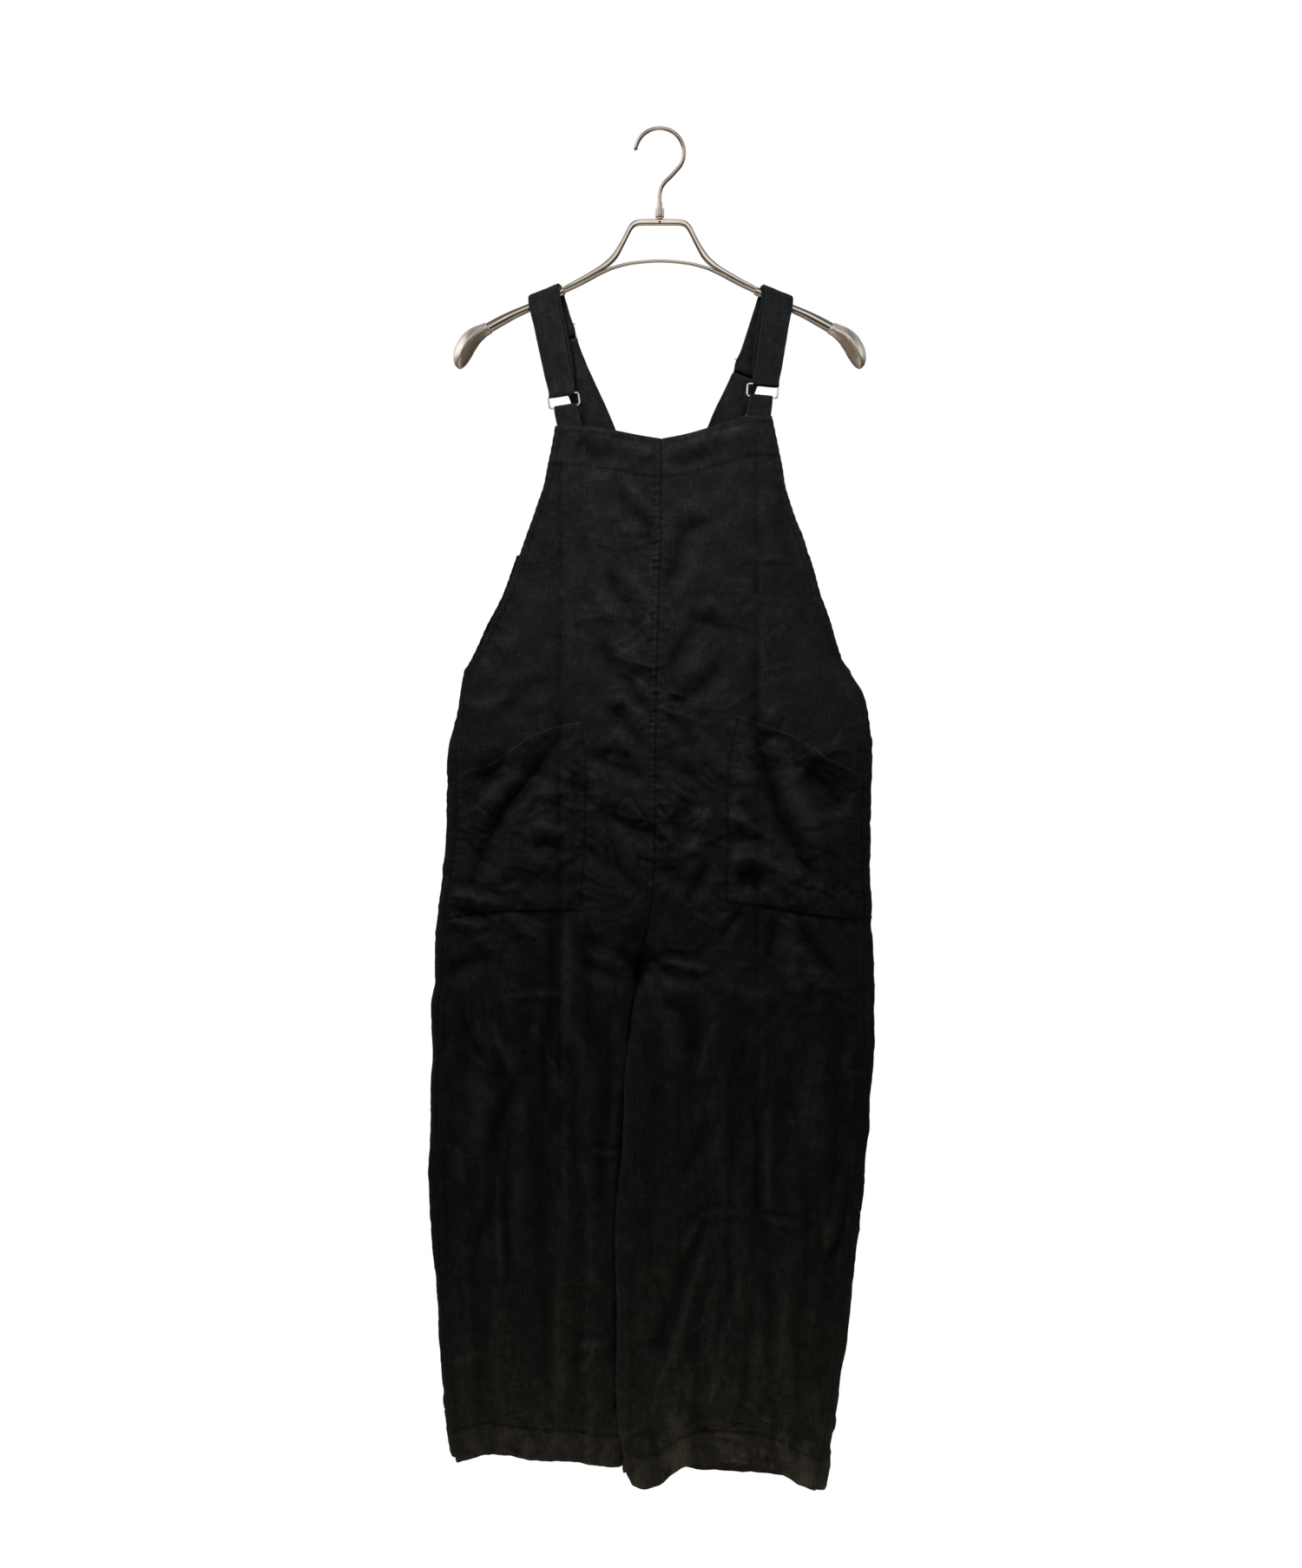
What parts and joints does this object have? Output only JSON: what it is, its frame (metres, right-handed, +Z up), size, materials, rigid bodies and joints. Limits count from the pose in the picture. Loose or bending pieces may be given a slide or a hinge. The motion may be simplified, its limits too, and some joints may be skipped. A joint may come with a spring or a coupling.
{
  "type": "bib dungarees on a clothes hanger",
  "caption": "Dark linen bib dungarees with wide legs, patch pockets and ring-fastened straps, hanging on a slim metal hanger with broad shoulder caps.",
  "frame": {"origin": "inside top of the hook, where a rail carries it", "axes": "+Z up, the garment's front faces -Y, +X to the right as seen from the front"},
  "size_m": [0.4536, 0.0833, 1.394],
  "materials": {
    "linen": "washed plain-weave linen, charcoal black",
    "nickel": "bright nickel plate",
    "hanger_metal": "satin champagne plate",
    "hanger_cap": "satin champagne plate"
  },
  "bodies": {
    "root": {"front_right_top": "linen", "front_right_hip": "linen", "front_right_thigh": "linen", "front_right_shin": "linen", "back_right_top": "linen", "back_right_hip": "linen", "back_right_thigh": "linen", "back_right_shin": "linen", "front_left_top": "linen", "front_left_hip": "linen", "front_left_thigh": "linen", "front_left_shin": "linen", "back_left_top": "linen", "back_left_hip": "linen", "back_left_thigh": "linen", "back_left_shin": "linen", "pocket_right": "linen", "pocket_left": "linen", "tab_right": "linen", "tab_left": "linen", "strap_right": "linen", "strap_left": "linen", "ring_right": "nickel", "ring_left": "nickel", "slider_right": "nickel", "slider_left": "nickel", "hanger_frame": "hanger_metal", "hanger_ferrule": "hanger_metal", "hanger_hook": "hanger_metal", "hanger_cap_right": "hanger_cap", "hanger_cap_left": "hanger_cap"}
  },
  "joints": []
}
